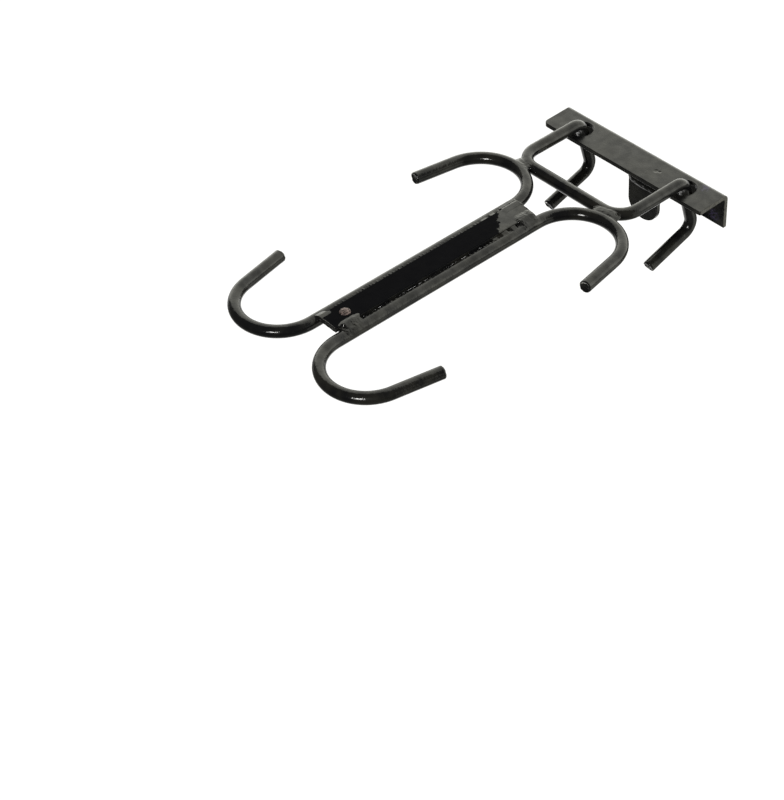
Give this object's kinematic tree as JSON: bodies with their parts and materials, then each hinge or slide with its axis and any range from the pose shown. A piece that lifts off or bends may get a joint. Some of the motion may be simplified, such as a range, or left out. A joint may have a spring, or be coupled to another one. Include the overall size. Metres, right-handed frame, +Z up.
{
  "type": "wall-mounted boot rack",
  "caption": "Fold-up boot rack of welded round bar: hooks on both sides of a rail hold boots by the ankle, sole up, and a folded wall bracket carries the frame.",
  "frame": {"origin": "on the bracket's wall face, midway between its two screw holes", "axes": "+X along the wall, to the right as seen from the front; +Y into the wall; +Z up"},
  "size_m": [0.1562, 0.2963, 0.0728],
  "materials": {
    "black_paint": "gloss",
    "rivet_steel": "dull"
  },
  "bodies": {
    "wall_mount": {"wall_bracket": "black_paint", "fixing_tab": "black_paint", "tab_weld": "black_paint"},
    "rack": {"hinge_rod": "black_paint", "hook_rod_left": "black_paint", "hook_rod_right": "black_paint", "centre_strip": "black_paint", "strip_rivet": "rivet_steel", "hook_weld_left": "black_paint", "hook_weld_right": "black_paint", "strip_weld_rear_left": "black_paint", "strip_weld_rear_right": "black_paint", "strip_weld_front_left": "black_paint", "strip_weld_front_right": "black_paint"}
  },
  "joints": [
    {"name": "frame_fold", "type": "hinge", "parent": "wall_mount", "child": "rack", "pos_m": [0, -0.0237, 0.0125], "axis": [-1, 0, 0], "range_deg": [0, 90.5]}
  ]
}
